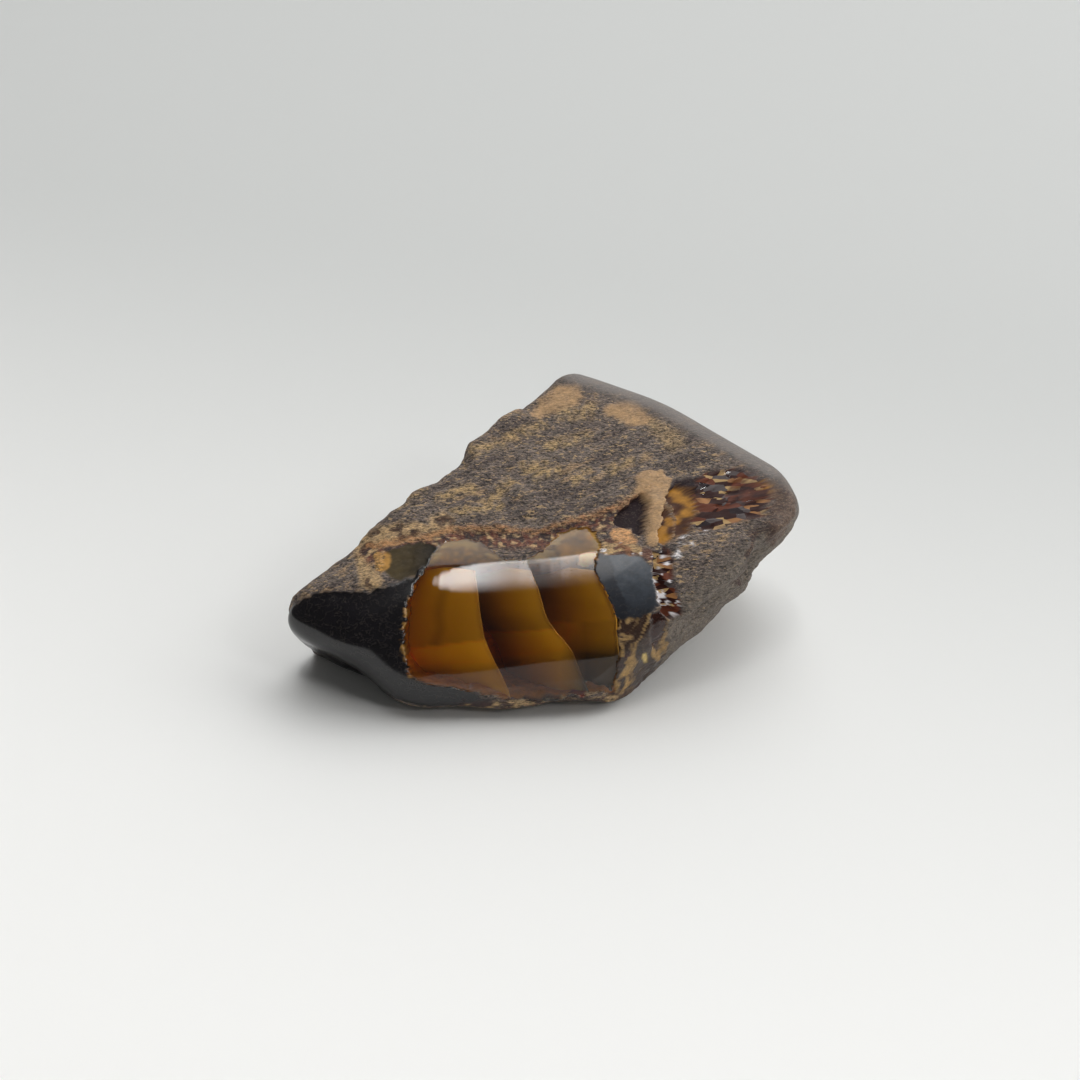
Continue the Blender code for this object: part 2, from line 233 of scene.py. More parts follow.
WOOD_DARK = srgb(66, 56, 55)
WOOD_GREY = srgb(114, 102, 94)
WOOD_TAN = srgb(170, 138, 98)
FLECK_TAN = srgb(192, 162, 120)
TAN = srgb(172, 138, 98)
CRUMB_TAN = srgb(178, 148, 106)
RUST = srgb(96, 48, 30)
RUST_DARK = srgb(48, 20, 16)
ORANGE = srgb(196, 148, 100)
TIP_BLACK = srgb(16, 14, 18)
SLATE = srgb(66, 72, 80)
SLATE_DARK = srgb(22, 24, 32)
PURPLE_BLACK = srgb(36, 24, 28)
SIDE_GREY = srgb(98, 90, 82)
LOBE_BROWN = srgb(84, 64, 52)
GOLD_FLOOR = srgb(196, 112, 24)
LOW_FLOOR = srgb(168, 104, 44)
FOG = srgb(146, 100, 14)
FOG_CREAM = srgb(190, 152, 84)
HOLLOW_SHINE = 0.12
GREEN_FLOOR = srgb(64, 52, 26)
YELLOW_FLOOR = srgb(160, 112, 40)
CREAM = srgb(228, 190, 128)
CRUMB_GOLD = srgb(170, 126, 62)
RED = srgb(120, 30, 16)
RIM_BROWN = srgb(66, 55, 48)
SCRATCH_GREY = srgb(120, 112, 104)
LIP_TAN = srgb(158, 112, 70)
STREAK_TAN = srgb(170, 142, 98)
FIBRE_PALE = srgb(150, 138, 124)
STRIPE_BROWN = srgb(52, 36, 28)
STRAND_TAN = srgb(154, 122, 72)
GLASS_MAROON = srgb(46, 22, 16)
OVAL_GOLD = srgb(196, 168, 96)
POCKET_BROWN = srgb(66, 36, 18)
LAYER_GREY = srgb(84, 76, 76)
LAYER_CREAM = srgb(182, 150, 102)
# White of crumbled broken edges, also laid as painted glints.
CRUSHED_WHITE_AND_GLINTS = srgb(222, 218, 220)


def way(azimuth, elevation):
    around, up = radians(azimuth), radians(elevation)
    return np.array([cos(around) * cos(up), sin(around) * cos(up), sin(up)])


def face_distance(points, face):
    azimuth, elevation, on_face = face
    return (points - np.array(on_face, float)) @ way(azimuth, elevation)


def rounded(first, second, radius):
    past = np.maximum(np.stack([first, second]) + radius, 0.0)
    return np.minimum(np.maximum(first, second), -radius) + np.sqrt((past ** 2).sum(0))


def blended(first, second, reach):
    near = np.maximum(reach - np.abs(first - second), 0.0) / reach
    return np.maximum(first, second) + near * near * reach / 4


def smooth_body(points):
    top = face_distance(points, TOP_CRUST)
    front = rounded(face_distance(points, FRONT), top, FRONT_ROUND)
    front = blended(front, face_distance(points, FRONT_UNDER), FRONT_UNDER_BLEND)
    tip = rounded(face_distance(points, TIP_UNDER), face_distance(points, TIP_OVER), TIP_ROUND)
    tip = blended(tip, face_distance(points, TIP_END), TIP_END_BLEND)
    back = blended(face_distance(points, BACK), face_distance(points, BACK_RIGHT), BACK_BLEND)
    back = rounded(back, top, BACK_ROUND)
    return np.maximum(blended(front, tip, TIP_BLEND), back)


def broken_sides(points):
    sides = blended(face_distance(points, LEFT_BACK), face_distance(points, RIGHT_SIDE), SIDE_BLEND)
    lobe = blended(face_distance(points, LOBE_END), face_distance(points, LOBE_UNDER), LOBE_BLEND)
    return blended(sides, lobe, LOBE_EDGE_BLEND)


def stone(points):
    """Signed distance outside the broad form."""
    whole = blended(smooth_body(points), broken_sides(points), BROKEN_EDGE_BLEND)
    return blended(whole, face_distance(points, REST), REST_BLEND)


def swell(points, size, seed):
    """Smooth random values between -1 and 1, whose swells are about size apart."""
    lattice = np.random.default_rng(seed).uniform(-1.0, 1.0, (LATTICE_CELLS,) * 3)
    scaled = points / size
    cell = np.floor(scaled).astype(int)
    part = scaled - cell
    part = part * part * (3.0 - 2.0 * part)
    total = np.zeros(len(points))
    for corner in np.ndindex(2, 2, 2):
        weight = np.prod(np.where(np.array(corner) == 1, part, 1.0 - part), axis=1)
        index = (cell + np.array(corner)) % LATTICE_CELLS
        total += weight * lattice[index[:, 0], index[:, 1], index[:, 2]]
    return total


def soft_step(values, width):
    part = np.clip((values / width + 1.0) / 2.0, 0.0, 1.0)
    return part * part * (3.0 - 2.0 * part)


def from_segment(points, start, end):
    start, end = np.array(start, float), np.array(end, float)
    along = end - start
    share = np.clip((points - start) @ along / (along @ along), 0.0, 1.0)
    return np.linalg.norm(points - start - share[:, None] * along, axis=1)


def mound(distance, reach, height, steepness=2):
    inside = np.maximum(1.0 - (distance / reach) ** steepness, 0.0)
    return height * inside * inside


def left_of_break(points):
    """1 to the left of the polished surface's ragged right end, 0 past it."""
    right = np.interp(points[:, 2], [z for z, x in SMOOTH_RIGHT], [x for z, x in SMOOTH_RIGHT])
    return soft_step(right - points[:, 0], EDGE_SOFTNESS)


def smooth_share(points):
    """1 on the polished surface, 0 on the crust."""
    lip = np.interp(points[:, 0], [x for x, y in LIP], [y for x, y in LIP])
    below_lip = soft_step(lip - points[:, 1], EDGE_SOFTNESS)
    above_rim = soft_step(points[:, 2] - SMOOTH_BOTTOM, EDGE_SOFTNESS)
    return below_lip * left_of_break(points) * above_rim


def back_rim_share(points):
    """1 on the worn rim along the back, 0 elsewhere."""
    top = face_distance(points, TOP_CRUST)
    back = blended(face_distance(points, BACK), face_distance(points, BACK_RIGHT), BACK_BLEND)
    return soft_step(back + BACK_ROUND, EDGE_SOFTNESS) * soft_step(top + BACK_ROUND, EDGE_SOFTNESS)


def lip_step(points):
    """The step below the crust's lip, on a smoothed line so that the polished surface has no creases."""
    across, up = [x for x, y in LIP], [y for x, y in LIP]
    places = [np.interp(points[:, 0] + shift, across, up) for shift in LIP_SHIFTS]
    lip = sum(places) / len(places)
    away = lip - points[:, 1]
    fade = np.clip(1.0 - away / LIP_FADE, 0.0, 1.0) * left_of_break(points)
    return -LIP_DROP * soft_step(away, LIP_WIDTH) * fade


def grain_frame(points):
    """The points as (along the grain, across it, up)."""
    turn = radians(GRAIN_DIRECTION)
    along = points[:, 0] * cos(turn) + points[:, 1] * sin(turn)
    across = points[:, 1] * cos(turn) - points[:, 0] * sin(turn)
    return np.stack([along, across, points[:, 2]], axis=1)


def grain(points, length, width, seed):
    stretched = grain_frame(points) * np.array([width / length, 1.0, 1.0])
    return swell(stretched, width, seed)


def rest_fade(points):
    return soft_step(points[:, 2] - REST_EDGE, REST_EDGE)


def worn_height(points):
    """Relief of the smooth, polished surface: broad lumps and the step below the crust's lip."""
    height = lip_step(points)
    for centre, reach, lift in LUMPS:
        height += mound(np.linalg.norm(points - np.array(centre, float), axis=1), reach, lift)
    return height * rest_fade(points)


def surface_radii(directions):
    near = np.zeros(len(directions))
    far = np.full(len(directions), FAR_RADIUS)
    for _ in range(HALVINGS):
        middle = (near + far) / 2
        inside = stone(CENTRE + directions * middle[:, None]) < 0
        near = np.where(inside, middle, near)
        far = np.where(inside, far, middle)
    return (near + far) / 2


CAMERA_FORWARD = -way(-90, CAMERA_ELEVATION)
CAMERA_UP = way(90, 90 - CAMERA_ELEVATION)
CAMERA_RIGHT = np.array([1.0, 0.0, 0.0])
CAMERA_PLACE = CAMERA_AIM - CAMERA_FORWARD * CAMERA_DISTANCE


def photo_pixels(points):
    """Where the photograph shows each point, in pixels."""
    away = points - CAMERA_PLACE
    depth = away @ CAMERA_FORWARD
    across = PHOTO_SIZE / 2 + FOCAL_PX * (away @ CAMERA_RIGHT) / depth
    down = PHOTO_SIZE / 2 - FOCAL_PX * (away @ CAMERA_UP) / depth
    return np.stack([across, down], axis=1)


SEARCH_REACH = 80.0
SEARCH_STEP = 0.02


def behind_pixel(pixel):
    """The point of the broad form that the photograph shows at a pixel."""
    ray = (CAMERA_FORWARD + CAMERA_RIGHT * (pixel[0] - PHOTO_SIZE / 2) / FOCAL_PX
           + CAMERA_UP * (PHOTO_SIZE / 2 - pixel[1]) / FOCAL_PX)
    ray /= np.linalg.norm(ray)
    steps = np.arange(CAMERA_DISTANCE - SEARCH_REACH, CAMERA_DISTANCE + SEARCH_REACH, SEARCH_STEP)
    inside = stone(CAMERA_PLACE + ray * steps[:, None]) < 0
    return CAMERA_PLACE + ray * steps[np.argmax(inside)]


def inside_mm(pixels, outline):
    """Signed distance inside an outline, in millimetres at the stone."""
    corners = np.array(outline, float)
    nearest = np.full(len(pixels), 1e9)
    crossings = np.zeros(len(pixels), bool)
    for start, end in zip(corners, np.roll(corners, -1, axis=0)):
        along = end - start
        share = np.clip((pixels - start) @ along / (along @ along), 0.0, 1.0)
        nearest = np.minimum(nearest, np.linalg.norm(pixels - start - share[:, None] * along, axis=1))
        spans = (start[1] > pixels[:, 1]) != (end[1] > pixels[:, 1])
        rise = end[1] - start[1]
        at = start[0] + (pixels[:, 1] - start[1]) * (end[0] - start[0]) / (rise if rise else 1.0)
        crossings ^= spans & (pixels[:, 0] < at)
    return np.where(crossings, nearest, -nearest) / PX_PER_MM


def from_line_mm(pixels, line):
    """Distance from a line of pixels, in millimetres at the stone."""
    corners = np.array(line, float)
    nearest = np.full(len(pixels), 1e9)
    for start, end in zip(corners[:-1], corners[1:]):
        along = end - start
        share = np.clip((pixels - start) @ along / (along @ along), 0.0, 1.0)
        nearest = np.minimum(nearest, np.linalg.norm(pixels - start - share[:, None] * along, axis=1))
    return nearest / PX_PER_MM


def line_level(pixels, line):
    """How far down a line lies at each pixel's place across."""
    return np.interp(pixels[:, 0], [x for x, y in line], [y for x, y in line])


TINT_ABOVE = 0.86
TINT_GAIN_PX = (560, 585)
TINT_GAIN = (0.5, -0.15)
TINT_FALL = 0.60
ARC_SHARE = 0.22
ARC_WIDTH = 0.9


def window_tint(pixels):
    """How light the amber's inside is: it changes at the second line and falls towards the horizon."""
    second, horizon = line_level(pixels, SECOND_LINE_PX), line_level(pixels, HORIZON_PX)
    below = soft_step(pixels[:, 1] - second, 1.5)
    share = np.clip((pixels[:, 1] - second) / (horizon - second), 0.0, 1.0)
    gain = np.interp(pixels[:, 0], TINT_GAIN_PX, TINT_GAIN)
    tint = TINT_ABOVE + below * (gain - TINT_FALL * share ** 3)
    return tint * (1.0 - ARC_SHARE * soft_step(ARC_WIDTH - from_line_mm(pixels, ARC_PX), ARC_WIDTH))


def worn_point(pixel):
    """The point of the worn surface that the photograph shows at a pixel."""
    aim = np.array(pixel, float)
    for _ in range(2):
        base = behind_pixel(aim)
        way_out = (base - CENTRE) / np.linalg.norm(base - CENTRE)
        point = base + way_out * worn_height(base[None, :])[0]
        aim += pixel - photo_pixels(point[None, :])[0]
    return point


# How far the edges of painted regions wander: pixels, size of the swells in millimetres, and their seeds.
RAGGED_EDGES = ((2.2, 1.3, (21, 22)), (1.2, 0.55, (23, 24)))
FACING_STEP = 0.2
FACING_LEAST = 0.15
FACING_SOFTNESS = 0.1
HIDDEN_MM = 10.0


class Surface:
    """Points of the broad form, with what every region of the surface needs."""

    def __init__(self, directions):
        self.directions = directions
        self.radii = surface_radii(directions)
        self.points = CENTRE + directions * self.radii[:, None]
        self.pixels = photo_pixels(self.points + directions * worn_height(self.points)[:, None])
        self.ragged = self.pixels
        for reach, size, seeds in RAGGED_EDGES:
            swells = [swell(self.points, size, seed) for seed in seeds]
            self.ragged = self.ragged + reach * np.stack(swells, axis=1)
        self.front = self.facing()

    def facing(self):
        """1 where the surface faces the photograph's camera, 0 where it is hidden."""
        towards = CAMERA_PLACE - self.points
        towards /= np.linalg.norm(towards, axis=1, keepdims=True)
        rise = stone(self.points + towards * FACING_STEP) / FACING_STEP
        return soft_step(rise - FACING_LEAST, FACING_SOFTNESS)

    def inside(self, outline, ragged=True):
        """Signed distance inside a region, negative on the hidden side of the stone."""
        pixels = self.ragged if ragged else self.pixels
        return np.where(self.front > 0.5, inside_mm(pixels, outline), -HIDDEN_MM)

    def share(self, outline, softness):
        """1 inside a region, 0 outside, with an edge of some softness in millimetres."""
        return soft_step(self.inside(outline), softness)

    def from_line(self, line):
        """Distance from a line of pixels in millimetres, large on the hidden side of the stone."""
        return np.where(self.front > 0.5, from_line_mm(self.ragged, line), HIDDEN_MM)


def shard_height(points, share):
    """Flat facets at odd angles, as a broken surface has, where the share isn't zero."""
    height = np.zeros(len(points))
    chosen = points[share > 0]
    if not len(chosen):
        return height
    random = np.random.default_rng(SHARD_SEED)
    low, high = chosen.min(0), chosen.max(0)
    centres = random.uniform(low, high, (SHARD_COUNT, 3))
    tilts = random.normal(0.0, 1.0, (SHARD_COUNT, 3)) / SHARD_SIZE
    best = np.full(len(chosen), 1e9)
    level = np.zeros(len(chosen))
    for centre, tilt, base in zip(centres, tilts, random.uniform(-1.0, 1.0, SHARD_COUNT)):
        away = chosen - centre
        distance = (away * away).sum(1)
        nearer = distance < best
        level[nearer] = base + away[nearer] @ tilt
        best[nearer] = distance[nearer]
    height[share > 0] = SHARD_LIFT * np.clip(level, -1.5, 1.5)
    return height


# The window's floor sinks inwards along one direction: deep between steep sides, rising gently to
# the bottom edge, and just under the surface in the fog below the lip.
WINDOW_INWARD = np.array([0.0, 0.87, -0.5])
WINDOW_DEPTH = 12.0
SIDE_RUN = 1.0
LOW_RUN = 6.0
LOW_START_PX = 660
LOW_END_PX = 690
FOG_END_PX = 554
DEEP_START_PX = 594
FOG_DEPTH = 0.4
FOG_SLOPE = 0.05
FLOOR_LEAST_HEIGHT = 1.5

# Scoops in the crust: the outline, the depth and the softness of the edge.
POCKETS = (
    (GREEN_PATCH_PX, 0.5, 1.2),
    (POCKET_A_PX, 1.1, 0.5),
    (POCKET_B_PX, 1.1, 0.6),
    (POCKET_C_PX, 1.0, 0.6),
    (YELLOW_END_PX, 0.8, 0.8),
    (GLASSY_PX, 0.6, 0.6),
    (CAVITY_PX, 1.0, 0.4),
    (SHARDS_PX, 0.8, 0.6),
)


def window_depth(surface):
    """How far the crust's surface has sunk under the window, along its inward direction."""
    inside = surface.inside(WINDOW_PX)
    down = surface.pixels[:, 1]
    runs = np.interp(down, [LOW_START_PX, LOW_END_PX], [SIDE_RUN, LOW_RUN])
    wall = WINDOW_DEPTH * np.clip(inside / runs, 0.0, 1.0)
    fog = np.where(inside > 0, FOG_DEPTH + FOG_SLOPE * np.maximum(inside, 0.0), 0.0)
    share = np.clip((down - FOG_END_PX) / (DEEP_START_PX - FOG_END_PX), 0.0, 1.0) ** 2
    depth = np.minimum(wall, fog * (1.0 - share) + WINDOW_DEPTH * share)
    room = np.maximum(surface.points[:, 2] - FLOOR_LEAST_HEIGHT, 0.0) / -WINDOW_INWARD[2]
    return np.minimum(depth, room)


# Fine relief of the crust: lift, length and width along the grain, and seed.
FINE_GRAIN = ((0.24, 5.0, 1.1, 31), (0.16, 2.4, 0.6, 32))
FINE_SWELL_LIFT = 0.08
FINE_SWELL_SIZE = 0.8
FINE_SWELL_SEED = 33
SHARD_SEED = 41
SHARD_COUNT = 900
SHARD_SIZE = 1.2
SHARD_LIFT = 0.5
STRIP_LIFT = 0.5


def crust_height(surface):
    """Relief of the crust above the broad form."""
    points = surface.points
    height = worn_height(points)
    for start, end, reach, lift in RIDGES + SCOOPS:
        height += mound(from_segment(points, start, end), reach, lift) * rest_fade(points)
    worn = smooth_share(points)
    rough = (1.0 - worn) * (1.0 - back_rim_share(points)) * rest_fade(points)
    coarse = sum(lift * swell(points, size, ROUGH_SEED) for size, lift in ROUGH_SWELLS)
    coarse += GRAIN_HEIGHT * grain(points, GRAIN_LENGTH, GRAIN_WIDTH, GRAIN_SEED)
    fine = sum(lift * grain(points, length, width, seed) for lift, length, width, seed in FINE_GRAIN)
    fine += FINE_SWELL_LIFT * swell(points, FINE_SWELL_SIZE, FINE_SWELL_SEED)
    height += rough * (coarse + fine)
    for outline, depth, softness in POCKETS:
        height -= depth * surface.share(outline, softness)
    broken = np.maximum(surface.share(CAVITY_PX, 0.4), surface.share(SHARDS_PX, 0.6))
    height += broken * shard_height(points, broken)
    height += STRIP_LIFT * surface.share(TAN_STRIP_PX, 0.5)
    for start, end, reach, lift in UNDERCUTS:
        height += mound(from_segment(points, start, end), reach, lift)
    return height


BLOCK_FALL = 0.035


def fall_of_block(surface):
    """The window's surface falls away a little to the right of the second crack."""
    across, down = surface.pixels[:, 0], surface.pixels[:, 1]
    crack = np.interp(down, [y for x, y in CRACKS_PX[1]], [x for x, y in CRACKS_PX[1]])
    return -BLOCK_FALL * np.maximum(across - crack, 0.0) / PX_PER_MM


COVER = 0.5


def amber_height(surface):
    """Height of the clear amber above the broad form: at the surface in the window, else under the crust."""
    shown = worn_height(surface.points) + fall_of_block(surface)
    share = soft_step(surface.inside(WINDOW_PX, ragged=False) + 0.8, 0.6)
    hidden = crust_height(surface) - COVER
    return hidden + (shown - hidden) * share


def sphere_directions(cuts, towards, pull):
    """Directions of a finely cut cube blown up to a sphere, closer together around one direction."""
    bpy.ops.mesh.primitive_cube_add(size=2.0)
    cube = bpy.context.object
    work = bmesh.new()
    work.from_mesh(cube.data)
    bmesh.ops.subdivide_edges(work, edges=work.edges[:], cuts=cuts, use_grid_fill=True)
    work.to_mesh(cube.data)
    work.free()
    corners = np.empty(len(cube.data.vertices) * 3)
    cube.data.vertices.foreach_get("co", corners)
    corners = np.tan(corners.reshape(-1, 3) * np.pi / 4)
    sphere = corners / np.linalg.norm(corners, axis=1, keepdims=True)
    sphere = sphere + pull * np.array(towards)
    sphere *= RAY_STRETCH
    return cube, sphere / np.linalg.norm(sphere, axis=1, keepdims=True)


def to_metres(points):
    return (points - FRAME_SHIFT) * MM


def set_points(target, points):
    target.data.vertices.foreach_set("co", to_metres(points).ravel())
    target.data.update()


def add_value(mesh, name, values):
    attribute = mesh.attributes.new(name, "FLOAT", "POINT")
    attribute.data.foreach_set("value", values.astype(np.float32))


def add_colour(mesh, name, colours):
    attribute = mesh.color_attributes.new(name, "FLOAT_COLOR", "POINT")
    full = np.concatenate([colours, np.ones((len(colours), 1))], axis=1)
    attribute.data.foreach_set("color", full.astype(np.float32).ravel())


def mixed(base, colour, share):
    return base + (colour - base) * np.clip(share, 0.0, 1.0)[:, None]


# What the bare crust starts with: roughness, grain, fibres, broken layers and specular level.
FIRST_VALUES = {"gloss": 0.75, "wood": 1.0, "felt": 0.35, "broken": 0.0, "shine": 0.5}


class Paint:
    """What the crust's material needs at every point: the colour and the named values."""

    def __init__(self, count):
        self.colour = np.tile(WOOD_DARK, (count, 1))
        self.values = {name: np.full(count, value) for name, value in FIRST_VALUES.items()}

    def lay(self, colour, share, **values):
        """Lays a colour over a share of every point, with the values that are given."""
        share = np.clip(share, 0.0, 1.0)
        self.colour = mixed(self.colour, colour, share)
        for name, value in values.items():
            before = self.values[name]
            self.values[name] = before + (value - before) * share


def bits(points, size, seed, level):
    """Small separate bits, fewer for a higher level."""
    return soft_step(swell(points, size, seed) - level, 0.1)


def paint_wood(paint, surface):
    """The grain's lights and darks, the grey right side and the tan flecks."""
    points = surface.points
    paint.lay(WOOD_GREY, 0.5 + 0.5 * grain(points, 9.0, 1.4, 51))
    side = soft_step(face_distance(points, RIGHT_SIDE) + 2.5, 2.0) * soft_step(points[:, 0] - 20, 3.0)
    paint.lay(SIDE_GREY, side * 0.85, wood=0.5, felt=1.0)
    fleck = grain(points, 3.2, 0.7, 53) + 0.35 * grain(points, 8.0, 1.6, 54) + 0.25 * swell(points, 6.0, 52)
    paint.lay(WOOD_TAN, soft_step(fleck - 0.58, 0.12) * 0.45 * (1 - 0.8 * side))


def paint_tan_patches(paint, surface):
    """Patches of softer tan wood, crumbly ones at the left end of the lip."""
    mottle = 0.85 + 0.2 * swell(surface.points, 1.0, 55)
    for outline in (TAN_TOP_PX, TAN_PEAK_PX):
        paint.lay(TAN, surface.share(outline, 0.4) * mottle, wood=0.22)
    paint.lay(STREAK_TAN, surface.share(TAN_TRAIL_PX, 0.8) * mottle * 0.55)
    for outline in (TAN_LEFT_PX, TAN_LUMP_PX):
        holes = bits(surface.points, 1.1, 64, 0.25)
        share = surface.share(outline, 0.6) * mottle
        paint.lay(CRUMB_TAN, share, wood=0.6)
        paint.lay(RUST_DARK, share * holes, wood=0.6)


def paint_tan_streaks(paint, surface):
    """Short tan streaks of softer wood along the top's grain, and the crease left of the lobe, dark reddish
    brown with painted shade along its groove.
    """
    crumbly = 0.25 + 0.75 * bits(surface.points, 0.8, 76, -0.1)
    for line in TAN_STREAKS_PX:
        paint.lay(STREAK_TAN, soft_step(0.9 - surface.from_line(line), 0.7) * crumbly * 0.85)
    # Painted shade along the groove left of the lobe, over its dark reddish brown.
    paint.lay(RUST_DARK, soft_step(0.6 - surface.from_line(SHADED_CREASE_PX), 0.4) * 0.8)


def paint_lip(paint, surface):
    """A tan edge along the lip of the crust, and a rusty band below it."""
    ragged = surface.ragged
    away = surface.from_line(LIP_BAND_PX)
    below = soft_step(ragged[:, 1] - line_level(ragged, LIP_BAND_PX), 2.0)
    paint.lay(LIP_TAN, soft_step(1.2 - away, 0.6) * (1 - below) * 0.8)
    band = soft_step(2.8 - away, 0.8) * below
    paint.lay(RUST, band, wood=0.7, gloss=0.5)
    paint.lay(RUST_DARK, band * bits(surface.points, 0.9, 56, 0.0))
    paint.lay(CRUMB_TAN, band * bits(surface.points, 0.8, 65, 0.42))


# Where the black of the tip wraps under the stone, in millimetres.
TIP_WRAP = (-26, 16, 10)
GREEN_DARKER_PX = (396, 432)
SLATE_DARKER_PX = (575, 620)


def paint_tip(paint, surface):
    """Black polished amber on the tip, and the greenish patch with a golden crumb above it."""
    points = surface.points
    right, rear, top = TIP_WRAP
    under = soft_step(right - points[:, 0], 2.0) * soft_step(top - points[:, 2], 2.0)
    under *= soft_step(rear - points[:, 1], 2.0)
    tip = np.maximum(surface.share(TIP_PX, 0.35), under)
    paint.lay(TIP_BLACK, tip, gloss=0.17, wood=0.0, felt=0.12)
    patch = surface.share(GREEN_PATCH_PX, 0.25)
    dark = np.interp(surface.ragged[:, 0], GREEN_DARKER_PX, (0.0, 1.0))
    green = GREEN_FLOOR + (TIP_BLACK - GREEN_FLOOR) * dark[:, None] * 0.8
    paint.lay(green, patch, gloss=0.65, wood=0.0, felt=0.1, shine=0.25)
    paint.lay(CRUMB_GOLD, surface.share(GOLD_CRUMB_PX, 0.3))


def paint_slate(paint, surface):
    """The slate-blue polished patch, darker low down and along its left edge."""
    slate = surface.share(SLATE_PX, 0.2)
    dark = np.interp(surface.ragged[:, 1], SLATE_DARKER_PX, (0.0, 1.0))
    paint.lay(SLATE + (SLATE_DARK - SLATE) * dark[:, None], slate, gloss=0.34, wood=0.0, felt=0.15)
    paint.lay(SLATE_DARK, surface.share(SLATE_EDGE_PX, 0.2) * 0.7)


STRAND_ACROSS = (0.9, 0.44)
STRAND_LENGTH = 9.0
CRUMBLY_RIGHT_PX = 632


def paint_stripes(paint, surface):
    """Tan strands that run down to the left through dark brown glass."""
    zone = surface.share(STRIPE_ZONE_PX, 0.3)
    paint.lay(STRIPE_BROWN, zone, gloss=0.25, wood=0.15, felt=0.2)
    across, down = surface.ragged[:, 0] / PX_PER_MM, surface.ragged[:, 1] / PX_PER_MM
    level, lean = STRAND_ACROSS
    along = (level * down - lean * across) / STRAND_LENGTH
    strand = np.stack([level * across + lean * down, along, np.zeros(len(along))], axis=1)
    paint.lay(STRAND_TAN, zone * soft_step(swell(strand, 0.7, 67) - 0.2, 0.15) * 0.9, gloss=0.5, wood=0.4)
    crumbly = zone * soft_step(CRUMBLY_RIGHT_PX - surface.ragged[:, 0], 4.0)
    paint.lay(STRAND_TAN, crumbly * bits(surface.points, 0.9, 68, 0.0) * 0.9, gloss=0.6, wood=0.5)
    paint.lay(RUST_DARK, crumbly * bits(surface.points, 0.8, 69, 0.35))
    paint.lay(GLASS_MAROON, surface.share(GLASSY_PX, 0.3), gloss=0.15, wood=0.0, felt=0.0)
    paint.lay(OVAL_GOLD, soft_step(surface.inside(OVAL_PX, ragged=False), 0.25))


def paint_pockets(paint, surface):
    """The dark and golden hollows at the right end of the top, and the tan strip between them."""
    points = surface.points
    paint.lay(PURPLE_BLACK, surface.share(POCKET_TOP_PX, 0.4), gloss=0.5, wood=0.2, felt=0.1,
              shine=HOLLOW_SHINE)
    paint.lay(PURPLE_BLACK, soft_step(surface.inside(POCKET_A_PX) + 0.2, 0.3), gloss=0.55, wood=0.1,
              felt=0.2, shine=HOLLOW_SHINE)
    for outline in (POCKET_B_PX, POCKET_C_PX, YELLOW_END_PX):
        share = surface.share(outline, 0.3)
        paint.lay(YELLOW_FLOOR, share, gloss=0.4, wood=0.0, felt=0.0, shine=HOLLOW_SHINE)
        paint.lay(POCKET_BROWN, share * soft_step(swell(points, 1.7, 70) + 0.15, 0.3))
    mottle = 0.9 + 0.15 * swell(points, 1.0, 55)
    paint.lay(ORANGE, surface.share(ORANGE_BLOCK_PX, 0.3) * mottle, wood=0.5)
    paint.lay(TAN, surface.share(TAN_STRIP_PX, 0.3) * mottle, wood=0.22)


def paint_shards(paint, surface):
    """Where the broken layers show, on dark rusty glass, and their white crumbled edges, some of the white
    being painted glints.
    """
    points = surface.points
    broken = paint.values["broken"]
    for outline in (SHARDS_PX, CAVITY_PX):
        share = surface.share(outline, 0.3)
        paint.lay(RUST_DARK, share, gloss=0.4, wood=0.0, felt=0.0, shine=HOLLOW_SHINE)
        paint.lay(RUST, share * bits(points, 1.2, 58, 0.1))
        broken = np.maximum(broken, share)
    broken *= 1.0 - 0.8 * surface.share(MAROON_PX, 0.5)
    paint.lay(RUST, surface.share(LEDGE_PX, 0.4) * 0.7, wood=0.4)
    paint.lay(CRUMB_TAN, surface.share(LEDGE_PX, 0.4) * bits(points, 0.9, 77, 0.05))
    # White bits: crumbled edges that are white, and painted glints where the broken facets catch the light.
    for outline, level in ((GLINT_PX, 0.0), (FROST_AND_GLINT_PX, 0.15), (LEDGE_PX, 0.6), (CAVITY_PX, 0.5)):
        crushed_and_glints = surface.share(outline, 0.25) * bits(points, 0.7, 72, level)
        paint.lay(CRUSHED_WHITE_AND_GLINTS, crushed_and_glints, gloss=0.3)
        broken *= 1.0 - crushed_and_glints
    paint.values["broken"] = broken


def paint_lower_edge(paint, surface):
    """Crumbs of crust along the edge that the polished front rests on."""
    away = surface.from_line(LOWER_EDGE_PX)
    paint.lay(RUST_DARK, soft_step(0.9 - away, 0.4) * 0.8, gloss=0.6)
    paint.lay(CRUMB_TAN, soft_step(0.7 - away, 0.4) * bits(surface.points, 0.9, 78, 0.25), gloss=0.7)


def paint_lobe_and_rim(paint, surface):
    """The brown lobe at the right end and the worn glossy rim along the back."""
    lobe = surface.share(LOBE_PX, 0.8)
    paint.lay(LOBE_BROWN, lobe * 0.85, gloss=0.55, wood=0.35, felt=0.4, shine=0.3)
    paint.lay(RUST_DARK, lobe * bits(surface.points * np.array([1.0, 1.0, 0.4]), 1.2, 74, 0.3) * 0.7)
    paint.lay(RIM_BROWN, back_rim_share(surface.points) * 0.85, gloss=0.26, wood=0.12, felt=0.1)


EDGE_CRUMBS_RIGHT_PX = 418
EDGE_CRUMBS_TOP_PX = 590
LOW_FLOOR_PX = 672
FOG_FADE_PX = 568


